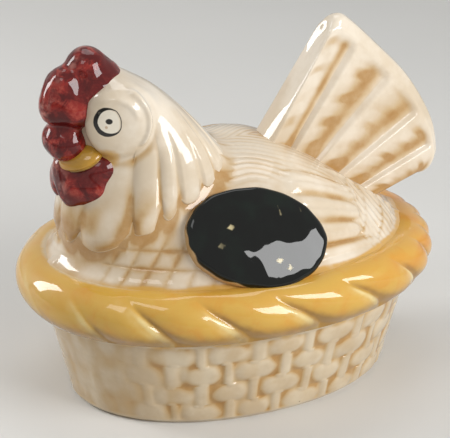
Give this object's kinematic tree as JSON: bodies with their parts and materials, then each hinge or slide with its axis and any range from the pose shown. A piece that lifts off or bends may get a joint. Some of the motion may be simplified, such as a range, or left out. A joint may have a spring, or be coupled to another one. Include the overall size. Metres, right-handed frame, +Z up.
{
  "type": "salt shaker",
  "caption": "Hollow glazed earthenware salt shaker shaped as a hen sitting on an oval woven basket, filled from below through a hole closed by a cork.",
  "frame": {"origin": "on the table, under the middle of the whole length from the rope's head end to the tail's tip", "axes": "+Z up, +X from the hen's head towards its tail, -Y out of the hen's left side, which carries the black oval"},
  "size_m": [0.088, 0.0623, 0.071],
  "materials": {
    "cream_glaze": "gloss",
    "yellow_glaze": "gloss",
    "red_glaze": "gloss",
    "beak_glaze": "gloss",
    "black_glaze": "gloss",
    "cork": "matte"
  },
  "bodies": {
    "pot": {"basket": "cream_glaze", "rope_rim": "yellow_glaze", "hen": "cream_glaze", "comb": "red_glaze", "wattles": "red_glaze", "beak": "beak_glaze", "label_panel": "black_glaze"},
    "stopper": {"cork_stopper": "cork"}
  },
  "joints": [
    {"name": "stopper_pull", "type": "slide", "parent": "pot", "child": "stopper", "axis": [0, 0, -1], "range_m": [0, 0.014]}
  ]
}
